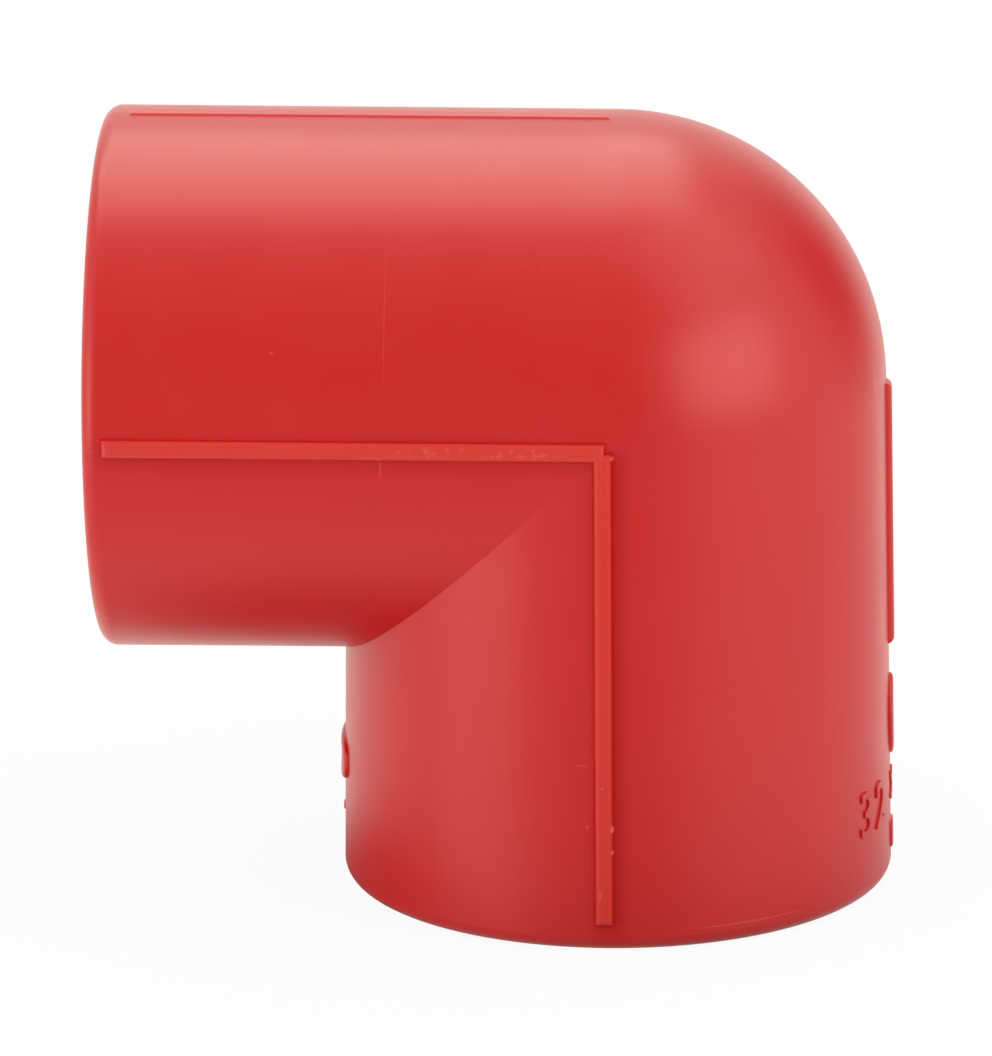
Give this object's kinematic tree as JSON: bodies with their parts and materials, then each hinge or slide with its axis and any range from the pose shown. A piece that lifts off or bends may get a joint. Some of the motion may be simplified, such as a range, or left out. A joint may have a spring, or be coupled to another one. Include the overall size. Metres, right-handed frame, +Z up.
{
  "type": "ninety-degree pipe elbow",
  "caption": "Moulded plastic elbow that turns a pipe run through a right angle, with a pipe socket in each leg, a mitred inner corner and raised alignment ribs.",
  "frame": {"origin": "centre of the lower socket's end face, on which the elbow stands", "axes": "+Z up along the lower leg's axis; -X along the level leg's axis, out of its mouth; -Y is the front"},
  "size_m": [0.0629, 0.0448, 0.0624],
  "materials": {
    "red_plastic": "satin, as moulded"
  },
  "bodies": {
    "root": {"elbow_body": "red_plastic"}
  },
  "joints": []
}
